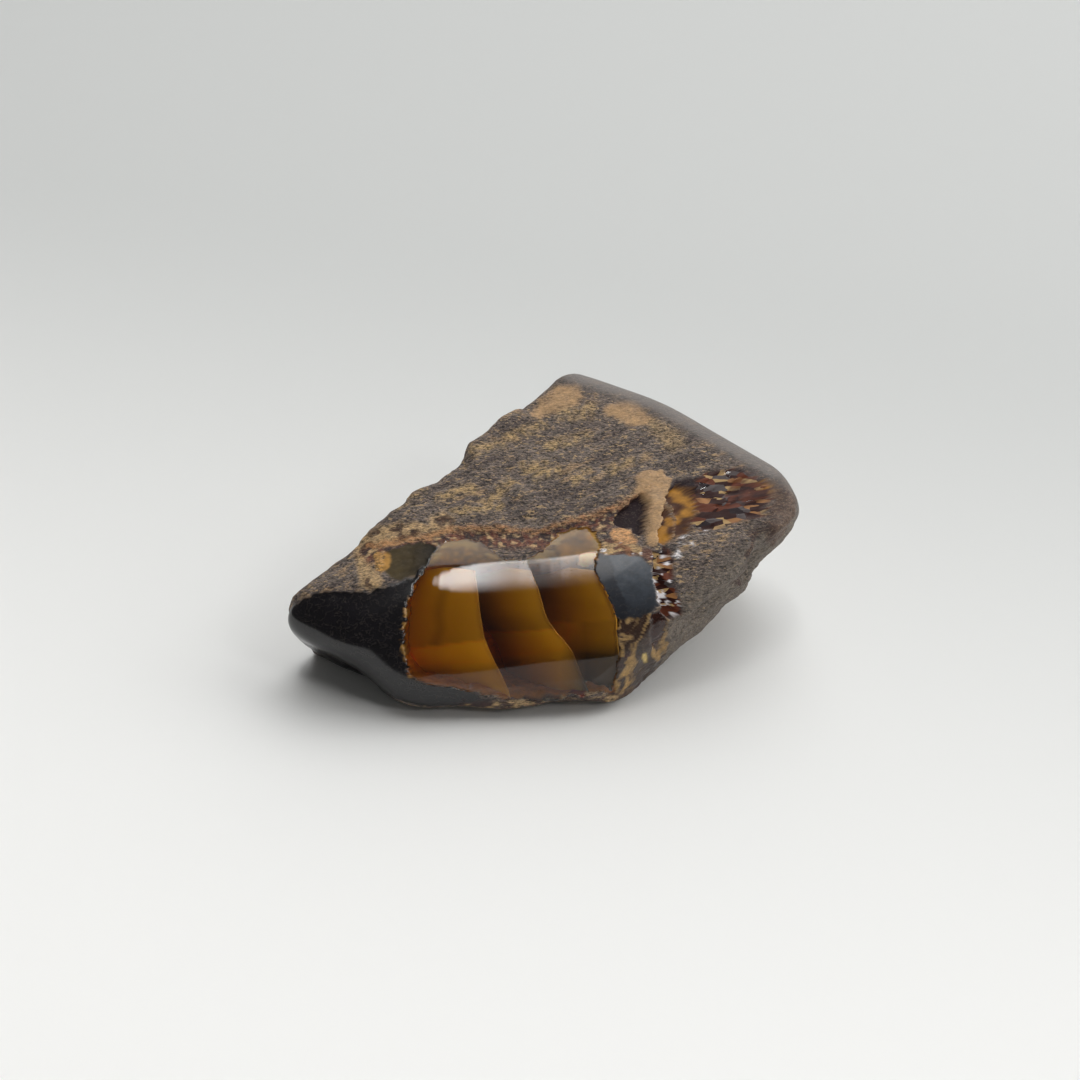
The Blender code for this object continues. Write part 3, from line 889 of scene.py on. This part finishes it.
def paint_window(paint, surface):
    """The inner face of the crust that is seen through the clear amber."""
    points, down = surface.points, surface.pixels[:, 1]
    depth_in = surface.inside(WINDOW_PX)
    window = soft_step(depth_in, 0.2)
    paint.lay(GOLD_FLOOR * window_tint(surface.pixels)[:, None], window, wood=0.0, felt=0.0)
    left = soft_step(EDGE_CRUMBS_RIGHT_PX - surface.pixels[:, 0], 2.0)
    crumbs = soft_step(0.5 - np.abs(depth_in), 0.3) * left
    crumbs *= soft_step(down - EDGE_CRUMBS_TOP_PX, 3.0) * bits(points, 0.9, 63, 0.0)
    paint.lay(CRUMB_GOLD, crumbs)
    fog = window * soft_step(FOG_FADE_PX - down, 10.0)
    cloud = 0.95 + 0.45 * swell(points, 2.6, 61) + 0.4 * swell(points, 0.9, 62)
    paint.lay(FOG * np.clip(cloud, 0.3, 1.5)[:, None], fog)
    paint.lay(FOG_CREAM, fog * soft_step(1.3 - depth_in, 0.9) * bits(points, 1.3, 75, -0.1) * 0.8)
    paint.lay(LOW_FLOOR, window * soft_step(down - LOW_FLOOR_PX, 14.0))
    paint.lay(CREAM, surface.share(CREAM_PX, 0.15))
    paint.lay(RED, surface.share(RED_SPOT_PX, 0.15))


def crust_paint(surface):
    paint = Paint(len(surface.points))
    paint_wood(paint, surface)
    paint_tan_patches(paint, surface)
    paint_tan_streaks(paint, surface)
    paint_lip(paint, surface)
    paint_tip(paint, surface)
    paint_slate(paint, surface)
    paint_stripes(paint, surface)
    paint_pockets(paint, surface)
    paint_shards(paint, surface)
    paint_lobe_and_rim(paint, surface)
    paint_window(paint, surface)
    paint_lower_edge(paint, surface)
    return paint


def node(tree, kind, **inputs):
    made = tree.nodes.new(kind)
    for name, value in inputs.items():
        made.inputs[name.replace("_", " ")].default_value = value
    return made


def new_material(name):
    material = bpy.data.materials.new(name)
    material.use_nodes = True
    return material, material.node_tree, material.node_tree.nodes["Principled BSDF"]


def attribute(tree, name):
    made = tree.nodes.new("ShaderNodeAttribute")
    made.attribute_name = name
    return made


def maths(tree, operation, first, second):
    made = tree.nodes.new("ShaderNodeMath")
    made.operation = operation
    for socket, value in zip(made.inputs, (first, second)):
        if isinstance(value, (int, float)):
            socket.default_value = value
        else:
            tree.links.new(value, socket)
    return made.outputs[0]


FLECK_DIRECTION = 36.0
# Noises of the crust: scales per metre along and across the grain, detail and roughness.
STREAKS = ((560, 1900, 1900), 5.0, 0.74)
FLECKS = ((620, 1600, 1600), 3.0, 0.7)
SPECKS = ((1600, 3000, 3000), 3.0, 0.7)
CLOUDS = ((500, 700, 700), 5.0, 0.65)
STRANDS = ((420, 560, 560), 3.0, 0.6)
STREAK_CONTRAST = 5.4
SPECK_CONTRAST = 5.8
CLOUD_CONTRAST = 1.8
MEAN_LIGHT = 1.1
LEAST_LIGHT = 0.16
FLECK_LEVELS = (0.60, 0.625)
FLECK_DROP_ON_SMOOTH = -0.12
FLECK_SHARE = 0.9
PALE_LEVELS = (0.58, 0.63)
PALE_SHARE = 0.42
FIBRE_LEVELS = (0.022, 0.004)
FIBRE_SHARE = 0.5
SCRATCH_LEVELS = (0.63, 0.70)
SCRATCH_SHARE = 0.16
BUMP_HEIGHT = 0.0004
RESIN_IOR = 1.54


def stretched_noise(tree, scale, detail, roughness):
    """Noise that runs along the grain of the crust."""
    place = tree.nodes.new("ShaderNodeTexCoord")
    mapping = tree.nodes.new("ShaderNodeMapping")
    mapping.inputs["Rotation"].default_value = (0, 0, -radians(FLECK_DIRECTION))
    mapping.inputs["Scale"].default_value = scale
    tree.links.new(place.outputs["Object"], mapping.inputs["Vector"])
    noise = node(tree, "ShaderNodeTexNoise", Scale=1.0, Detail=detail, Roughness=roughness)
    tree.links.new(mapping.outputs["Vector"], noise.inputs["Vector"])
    return noise.outputs["Fac"]


def steep(tree, value, low, high):
    """0 below the low value, 1 above the high one."""
    made = tree.nodes.new("ShaderNodeMapRange")
    made.inputs["From Min"].default_value = low
    made.inputs["From Max"].default_value = high
    tree.links.new(value, made.inputs["Value"])
    return made.outputs["Result"]


def scaled_colour(tree, colour, factor):
    made = tree.nodes.new("ShaderNodeVectorMath")
    made.operation = "SCALE"
    tree.links.new(colour, made.inputs[0])
    tree.links.new(factor, made.inputs["Scale"])
    return made.outputs["Vector"]


def mixed_colour(tree, first, second, share):
    """Mix of a linked colour with a fixed or a linked one."""
    made = tree.nodes.new("ShaderNodeMix")
    made.data_type = "RGBA"
    tree.links.new(share, made.inputs["Factor"])
    tree.links.new(first, made.inputs[6])
    if isinstance(second, bpy.types.NodeSocket):
        tree.links.new(second, made.inputs[7])
    else:
        made.inputs[7].default_value = (*second, 1.0)
    return made.outputs[2]


def contrast(tree, noise, strength):
    """The noise's distance from its middle, times the strength."""
    return maths(tree, "MULTIPLY", maths(tree, "SUBTRACT", noise, 0.5), strength)


# Colours of the broken layers, each from its level to the next one's.
SHARD_COLOURS = ((0.0, RUST_DARK), (0.32, RUST), (0.52, PURPLE_BLACK), (0.62, LAYER_GREY),
                 (0.74, LAYER_CREAM), (0.86, LIP_TAN))
SHARD_TURN = (20, -35, 30)
SHARD_SCALE = (420, 900, 1000)


def shard_colours(tree):
    """Angular bits of broken layers, each of one colour."""
    place = tree.nodes.new("ShaderNodeTexCoord")
    mapping = tree.nodes.new("ShaderNodeMapping")
    mapping.inputs["Rotation"].default_value = [radians(turn) for turn in SHARD_TURN]
    mapping.inputs["Scale"].default_value = SHARD_SCALE
    tree.links.new(place.outputs["Object"], mapping.inputs["Vector"])
    cells = node(tree, "ShaderNodeTexVoronoi", Scale=1.0)
    tree.links.new(mapping.outputs["Vector"], cells.inputs["Vector"])
    parts = tree.nodes.new("ShaderNodeSeparateColor")
    tree.links.new(cells.outputs["Color"], parts.inputs[0])
    levels = tree.nodes.new("ShaderNodeValToRGB")
    levels.color_ramp.interpolation = "CONSTANT"
    elements = levels.color_ramp.elements
    elements.remove(elements[1])
    for number, (level, colour) in enumerate(SHARD_COLOURS):
        element = elements[0] if number == 0 else elements.new(level)
        element.color = (*colour, 1.0)
    tree.links.new(parts.outputs[0], levels.inputs["Fac"])
    return levels.outputs["Color"]


def wood_colour(tree, paint, wood, smooth):
    """The paint with the grain's lights and darks, and the tan flecks of the crust."""
    streaks, specks = stretched_noise(tree, *STREAKS), stretched_noise(tree, *SPECKS)
    flecks, clouds = stretched_noise(tree, *FLECKS), stretched_noise(tree, *CLOUDS)
    fine = contrast(tree, specks, SPECK_CONTRAST)
    light = maths(tree, "ADD", contrast(tree, streaks, STREAK_CONTRAST), fine)
    cloudy = maths(tree, "MULTIPLY", contrast(tree, clouds, CLOUD_CONTRAST), smooth)
    light = maths(tree, "ADD", maths(tree, "MULTIPLY", light, wood), cloudy)
    light = maths(tree, "MAXIMUM", maths(tree, "ADD", light, MEAN_LIGHT), LEAST_LIGHT)
    colour = scaled_colour(tree, paint, light)
    fewer = maths(tree, "ADD", flecks, maths(tree, "MULTIPLY", smooth, FLECK_DROP_ON_SMOOTH))
    tan_share = maths(tree, "MULTIPLY", steep(tree, fewer, *FLECK_LEVELS), FLECK_SHARE)
    colour = mixed_colour(tree, colour, FLECK_TAN, maths(tree, "MULTIPLY", tan_share, wood))
    pale = maths(tree, "MULTIPLY", steep(tree, specks, *PALE_LEVELS), wood)
    colour = mixed_colour(tree, colour, FLECK_TAN, maths(tree, "MULTIPLY", pale, PALE_SHARE))
    return colour, streaks, specks


def crust_material():
    """Woody crust, with fibres, broken layers and fine scratches where the point values ask for them."""
    material, tree, shader = new_material("crust")
    paint = attribute(tree, "paint").outputs["Color"]
    gloss, wood, felt, broken, shine = [attribute(tree, name).outputs["Fac"] for name in FIRST_VALUES]
    smooth = maths(tree, "SUBTRACT", 1.0, wood)
    colour, streaks, specks = wood_colour(tree, paint, wood, smooth)
    middle = maths(tree, "ABSOLUTE", maths(tree, "SUBTRACT", stretched_noise(tree, *STRANDS), 0.5), 0.0)
    fibre = maths(tree, "MULTIPLY", steep(tree, middle, *FIBRE_LEVELS), felt)
    colour = mixed_colour(tree, colour, FIBRE_PALE, maths(tree, "MULTIPLY", fibre, FIBRE_SHARE))
    colour = mixed_colour(tree, colour, shard_colours(tree), broken)
    scratches = maths(tree, "MULTIPLY", steep(tree, specks, *SCRATCH_LEVELS), smooth)
    colour = mixed_colour(tree, colour, SCRATCH_GREY, maths(tree, "MULTIPLY", scratches, SCRATCH_SHARE))
    tree.links.new(colour, shader.inputs["Base Color"])
    tree.links.new(gloss, shader.inputs["Roughness"])
    tree.links.new(shine, shader.inputs["Specular IOR Level"])
    shader.inputs["IOR"].default_value = RESIN_IOR
    bump = tree.nodes.new("ShaderNodeBump")
    bump.inputs["Distance"].default_value = BUMP_HEIGHT
    tree.links.new(maths(tree, "ADD", streaks, specks), bump.inputs["Height"])
    tree.links.new(wood, bump.inputs["Strength"])
    tree.links.new(bump.outputs["Normal"], shader.inputs["Normal"])
    return material


AMBER_ABSORPTION = (0.90, 0.852, 0.10, 1.0)
AMBER_DENSITY = 590.0
AMBER_ROUGHNESS = 0.02
FRACTURE_ROUGHNESS = 0.35


def amber_material():
    material, tree, shader = new_material("amber")
    shader.inputs["Base Color"].default_value = (1.0, 1.0, 1.0, 1.0)
    shader.inputs["Transmission Weight"].default_value = 1.0
    shader.inputs["Roughness"].default_value = AMBER_ROUGHNESS
    shader.inputs["IOR"].default_value = RESIN_IOR
    absorb = tree.nodes.new("ShaderNodeVolumeAbsorption")
    absorb.inputs["Color"].default_value = AMBER_ABSORPTION
    absorb.inputs["Density"].default_value = AMBER_DENSITY
    tree.links.new(absorb.outputs["Volume"], tree.nodes["Material Output"].inputs["Volume"])
    return material


def fracture_material():
    material, tree, shader = new_material("fracture")
    tree.links.new(attribute(tree, "paint").outputs["Color"], shader.inputs["Base Color"])
    shader.inputs["Roughness"].default_value = FRACTURE_ROUGHNESS
    return material


def finish_piece(target, name, material):
    target.name = name
    target.data.name = name
    target.data.materials.append(material)
    target.data.shade_smooth()
    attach(target, "root")
    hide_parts(NODE_NAME)
    return target


CUTS = 125
CRUST_PULL = 0.5
AMBER_TOWARDS = way(-92, 20)
AMBER_PULL = 0.62
AMBER_LEAST_HEIGHT = 0.25


def make_crust():
    target, directions = sphere_directions(CUTS, -CAMERA_FORWARD, CRUST_PULL)
    surface = Surface(directions)
    height = crust_height(surface)
    points = surface.points + directions * height[:, None]
    points += WINDOW_INWARD * window_depth(surface)[:, None]
    points[:, 2] = np.maximum(points[:, 2], 0.0)
    set_points(target, points)
    paint = crust_paint(surface)
    add_colour(target.data, "paint", paint.colour)
    for name, values in paint.values.items():
        add_value(target.data, name, values)
    return finish_piece(target, "crust", crust_material())


def make_amber():
    target, directions = sphere_directions(CUTS, AMBER_TOWARDS, AMBER_PULL)
    surface = Surface(directions)
    points = surface.points + directions * amber_height(surface)[:, None]
    points[:, 2] = np.maximum(points[:, 2], AMBER_LEAST_HEIGHT)
    set_points(target, points)
    return finish_piece(target, "amber", amber_material())


# Each fracture: how far it runs in, how steeply it dips, and how much it curves.
FRACTURE_RUNS = ((17.0, 22.0, 2.0), (19.0, 30.0, -18.0), (19.0, 29.0, -14.0))
FRACTURE_GOLD = np.array([0.92, 0.43, 0.04])
FRACTURE_FIRST_PX = 571
FRACTURE_TOP = 0.12
FRACTURE_THICKNESS = 0.12
FRACTURE_PLUNGE = 0.5
PLUNGE_RUN = 0.35
SHEET_LEAST_HEIGHT = 3.0
SHEET_ROWS = 40
SHEET_COLUMNS = 26
COLUMN_SPACING = 1.8
SHEET_BEND = 0.35
BEND_ALONG = 3.1
BEND_DOWN = 0.05


def line_pixels(line):
    """Pixels evenly along a crack, from where it leaves the fog."""
    corners = np.array(line, float)
    lengths = np.concatenate([[0], np.cumsum(np.linalg.norm(np.diff(corners, axis=0), axis=1))])
    start = np.interp(FRACTURE_FIRST_PX, corners[:, 1], lengths)
    along = np.linspace(start, lengths[-1], SHEET_ROWS)
    return np.stack([np.interp(along, lengths, corners[:, k]) for k in (0, 1)], axis=1)


def sheet_points(line, run, dip, curve):
    """Points of a sheet, row by row from the crack inwards, and the surface points that they lie under."""
    points, above = [], []
    for pixel in line_pixels(line):
        top = worn_point(pixel)
        for share in np.linspace(0, 1, SHEET_COLUMNS) ** COLUMN_SPACING:
            angle = radians(dip + curve * (0.5 - share))
            step = run * share
            plunge = FRACTURE_PLUNGE * (1.0 - np.exp(-step / PLUNGE_RUN))
            bend = SHEET_BEND * sin(BEND_ALONG * share + BEND_DOWN * pixel[1])
            depth = FRACTURE_TOP + plunge + step * sin(angle) + bend * share
            over = top + np.array([-step * cos(angle), 0.0, 0.0])
            place = over + WINDOW_INWARD * depth
            place[2] = max(place[2], min(top[2], SHEET_LEAST_HEIGHT))
            points.append(place)
            above.append(over)
    return np.array(points), np.array(above)


def make_fracture(number, line, run, dip, curve, material):
    """A thin golden sheet from a crack's line on the surface, dipping to the left."""
    points, above = sheet_points(line, run, dip, curve)
    faces = []
    for row in range(SHEET_ROWS - 1):
        for column in range(SHEET_COLUMNS - 1):
            first = row * SHEET_COLUMNS + column
            faces.append((first, first + 1, first + 1 + SHEET_COLUMNS, first + SHEET_COLUMNS))
    name = f"fracture_{number}"
    mesh = bpy.data.meshes.new(name)
    mesh.from_pydata([list(point) for point in to_metres(points)], [], faces)
    add_colour(mesh, "paint", FRACTURE_GOLD * window_tint(photo_pixels(above))[:, None])
    sheet = bpy.data.objects.new(name, mesh)
    bpy.context.scene.collection.objects.link(sheet)
    solid = sheet.modifiers.new("thickness", "SOLIDIFY")
    solid.thickness = FRACTURE_THICKNESS * MM
    solid.offset = 0.0
    return finish_piece(sheet, name, material)


# Painted light falloff: the floor's colour is lighter in front and to the left, darker towards the back and
# the right.
FLOOR_NEAR_LIT = (0.93, 0.935, 0.925, 1.0)
FLOOR_FAR_SHADED = (0.585, 0.60, 0.595, 1.0)
FLOOR_SHADE_FADE = (-0.16, 0.17)


def make_floor():
    bpy.ops.mesh.primitive_plane_add(size=8.0)
    floor = bpy.context.object
    floor.name = "floor"
    material, tree, shader = new_material("floor")
    place = tree.nodes.new("ShaderNodeTexCoord")
    parts = tree.nodes.new("ShaderNodeSeparateXYZ")
    tree.links.new(place.outputs["Object"], parts.inputs[0])
    # Painted shade: the colour darkens towards the back and the right, as the light falls off.
    back = maths(tree, "ADD", parts.outputs["Y"], maths(tree, "MULTIPLY", parts.outputs["X"], 0.35))
    fade = tree.nodes.new("ShaderNodeMapRange")
    fade.interpolation_type = "SMOOTHSTEP"
    fade.inputs["From Min"].default_value = FLOOR_SHADE_FADE[0]
    fade.inputs["From Max"].default_value = FLOOR_SHADE_FADE[1]
    tree.links.new(back, fade.inputs["Value"])
    near = tree.nodes.new("ShaderNodeMix")
    near.data_type = "RGBA"
    near.inputs[6].default_value = FLOOR_NEAR_LIT
    near.inputs[7].default_value = FLOOR_FAR_SHADED
    tree.links.new(fade.outputs["Result"], near.inputs["Factor"])
    tree.links.new(near.outputs[2], shader.inputs["Base Color"])
    shader.inputs["Roughness"].default_value = 0.9
    floor.data.materials.append(material)


def area_light(name, place, aim, size, radiance, colour):
    """A rectangular light with the given brightness as seen in a mirror."""
    data = bpy.data.lights.new(name, "AREA")
    data.shape = "RECTANGLE"
    data.size, data.size_y = size
    data.color = colour
    data.energy = radiance * size[0] * size[1] * np.pi
    lamp = bpy.data.objects.new(name, data)
    bpy.context.scene.collection.objects.link(lamp)
    lamp.location = place
    lamp.rotation_euler = (Vector(aim) - Vector(place)).to_track_quat("-Z", "Y").to_euler()
    return lamp


def ramp(tree, value, low, high, first=0.0, last=1.0):
    """A soft ramp between two values."""
    made = tree.nodes.new("ShaderNodeMapRange")
    made.interpolation_type = "SMOOTHSTEP"
    made.inputs["From Min"].default_value = low
    made.inputs["From Max"].default_value = high
    made.inputs["To Min"].default_value = first
    made.inputs["To Max"].default_value = last
    tree.links.new(value, made.inputs["Value"])
    return made.outputs["Result"]


# The key light, in metres and as shares of its length and width.
KEY_LEFT, KEY_RIGHT = -0.31, 0.45
KEY_FRONT, KEY_REAR = -0.70, 0.42
KEY_HEIGHT = 2.0
KEY_RADIANCE = 12.4
KEY_ROUND_END = 0.40
KEY_FADE = (0.22, 0.42)
KEY_TAIL = 0.13
KEY_FRONT_FADE = 0.5
KEY_SKEW = 0.03
KEY_COLOUR = (1.0, 0.985, 0.97)
# The other lights: name, place, side, brightness and colour.
LIGHTS = (
    ("sky", (0.4, 1.1, 2.0), 2.0, 1.3, (0.97, 0.99, 1.0)),
    ("right", (1.7, 0.3, 1.3), 1.4, 3.0, (1.0, 0.99, 0.98)),
    ("glint", (1.22, -0.96, 1.26), 0.3, 12.0, (1.0, 0.99, 0.98)),
)
# The room's brightness in front, behind and in the low strip, and the slope, start and top of that strip.
ROOM_FRONT = 0.09
ROOM_REAR = 1.35
ROOM_LOW = 0.58
LOW_SLOPE = 0.9
LOW_LEVEL = 0.18
LOW_TOP = 0.25
ROOM_COLOUR = (1.0, 0.985, 0.96, 1.0)
BACKDROP_COLOUR = (0.66, 0.68, 0.68, 1.0)


def shape_key(lamp):
    """A soft edge, a rounded left end and a fade towards the right, as the window's reflection shows."""
    lamp.data.use_nodes = True
    tree = lamp.data.node_tree
    place = tree.nodes.new("ShaderNodeNewGeometry")
    parts = tree.nodes.new("ShaderNodeSeparateXYZ")
    tree.links.new(place.outputs["Parametric"], parts.inputs[0])
    across, along = parts.outputs["X"], parts.outputs["Y"]
    skew = maths(tree, "MULTIPLY", maths(tree, "SUBTRACT", 1.0, along), KEY_SKEW)
    reached = maths(tree, "SUBTRACT", across, skew)
    end = maths(tree, "MULTIPLY", maths(tree, "SUBTRACT", KEY_ROUND_END, reached), 1 / KEY_ROUND_END)
    end = maths(tree, "MAXIMUM", end, 0.0)
    side = maths(tree, "MULTIPLY", maths(tree, "SUBTRACT", along, 0.5), 2.0)
    squares = maths(tree, "ADD", maths(tree, "POWER", end, 2), maths(tree, "POWER", side, 2))
    reach = maths(tree, "SQRT", squares, 0.0)
    edge = steep(tree, reach, 1.0, 0.85)
    edge = maths(tree, "MULTIPLY", edge, ramp(tree, along, 0.0, KEY_FRONT_FADE))
    fade = tree.nodes.new("ShaderNodeMapRange")
    fade.inputs["From Min"].default_value = KEY_FADE[0]
    fade.inputs["From Max"].default_value = KEY_FADE[1]
    fade.inputs["To Min"].default_value = 1.0
    fade.inputs["To Max"].default_value = KEY_TAIL
    tree.links.new(across, fade.inputs["Value"])
    strength = maths(tree, "MULTIPLY", edge, fade.outputs["Result"])
    tree.links.new(strength, tree.nodes["Emission"].inputs["Strength"])


def make_lights():
    key_place = ((KEY_LEFT + KEY_RIGHT) / 2, (KEY_FRONT + KEY_REAR) / 2, KEY_HEIGHT)
    under = (key_place[0], key_place[1], 0.0)
    key_size = (KEY_RIGHT - KEY_LEFT, KEY_REAR - KEY_FRONT)
    shape_key(area_light("key", key_place, under, key_size, KEY_RADIANCE, KEY_COLOUR))
    for name, place, side, radiance, colour in LIGHTS:
        area_light(name, place, (0, 0, 0), (side, side), radiance, colour)
    make_room()


def make_room():
    """Bright behind and to the right, dark to the left, with a low bright strip in front."""
    world = bpy.data.worlds.new("room")
    bpy.context.scene.world = world
    world.use_nodes = True
    tree = world.node_tree
    direction = tree.nodes.new("ShaderNodeTexCoord")
    parts = tree.nodes.new("ShaderNodeSeparateXYZ")
    tree.links.new(direction.outputs["Generated"], parts.inputs[0])
    across, back_way, up = parts.outputs["X"], parts.outputs["Y"], parts.outputs["Z"]
    rear = ramp(tree, back_way, 0.0, 0.6, 0.0, ROOM_REAR)
    rear = maths(tree, "MULTIPLY", rear, ramp(tree, across, -0.5, 0.1))
    limit = maths(tree, "ADD", maths(tree, "MULTIPLY", across, LOW_SLOPE), LOW_LEVEL)
    limit = maths(tree, "MINIMUM", maths(tree, "MAXIMUM", limit, 0.0), LOW_TOP)
    under = ramp(tree, maths(tree, "SUBTRACT", limit, up), -0.01, 0.01)
    low = maths(tree, "MULTIPLY", under, ramp(tree, back_way, 0.0, -0.3, 0.0, ROOM_LOW))
    strength = maths(tree, "ADD", maths(tree, "ADD", rear, low), ROOM_FRONT)
    back = tree.nodes["Background"]
    back.inputs["Color"].default_value = ROOM_COLOUR
    tree.links.new(strength, back.inputs["Strength"])
    seen = tree.nodes.new("ShaderNodeBackground")
    seen.inputs["Color"].default_value = BACKDROP_COLOUR
    path = tree.nodes.new("ShaderNodeLightPath")
    mix = tree.nodes.new("ShaderNodeMixShader")
    tree.links.new(path.outputs["Is Camera Ray"], mix.inputs["Fac"])
    tree.links.new(back.outputs["Background"], mix.inputs[1])
    tree.links.new(seen.outputs["Background"], mix.inputs[2])
    tree.links.new(mix.outputs["Shader"], tree.nodes["World Output"].inputs["Surface"])


def make_camera():
    data = bpy.data.cameras.new("camera")
    data.lens = CAMERA_LENS
    data.sensor_width = CAMERA_SENSOR
    data.clip_start = 0.01
    camera = bpy.data.objects.new("camera", data)
    bpy.context.scene.collection.objects.link(camera)
    camera.location = to_metres(CAMERA_PLACE)
    camera.rotation_euler = (radians(90 - CAMERA_ELEVATION), 0, 0)
    bpy.context.scene.camera = camera


def set_colours():
    scene = bpy.context.scene
    scene.view_settings.view_transform = "Standard"
    scene.cycles.use_denoising = True
    scene.cycles.max_bounces = 16
    scene.cycles.transmission_bounces = 12


make_camera()
make_crust()
make_amber()
gold = fracture_material()
for number, (line, numbers) in enumerate(zip(CRACKS_PX, FRACTURE_RUNS), 1):
    make_fracture(number, line, *numbers, gold)
make_floor()
make_lights()
set_colours()
